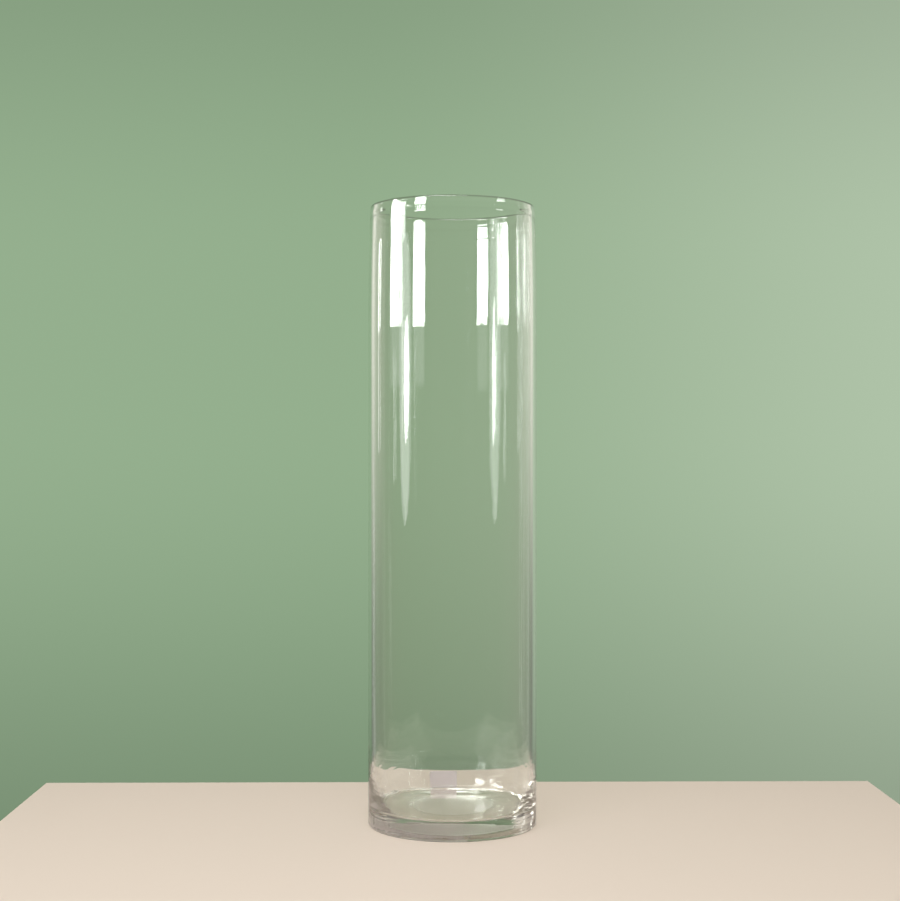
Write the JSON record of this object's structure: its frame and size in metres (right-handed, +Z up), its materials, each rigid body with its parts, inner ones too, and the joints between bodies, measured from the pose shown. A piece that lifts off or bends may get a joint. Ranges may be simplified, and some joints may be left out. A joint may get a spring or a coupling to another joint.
{
  "type": "cylinder vase",
  "caption": "Tall clear glass cylinder vase with a heavy flat base, rounded rim and a small blank label near the foot, for long-stemmed flowers.",
  "frame": {"origin": "centre of the foot, on the surface that the vase stands on", "axes": "+Z up along the vase's axis; -Y is the front; the label is on the +Y side"},
  "size_m": [0.191, 0.192, 0.7],
  "materials": {
    "clear_glass": "fire-polished, clear, with a faint grey-green tint in the thick base",
    "label_glue": "tacky, translucent",
    "label_stock": "uncoated, matt"
  },
  "bodies": {
    "root": {"vase_body": "clear_glass", "label_adhesive": "label_glue", "label_paper": "label_stock"}
  },
  "joints": []
}
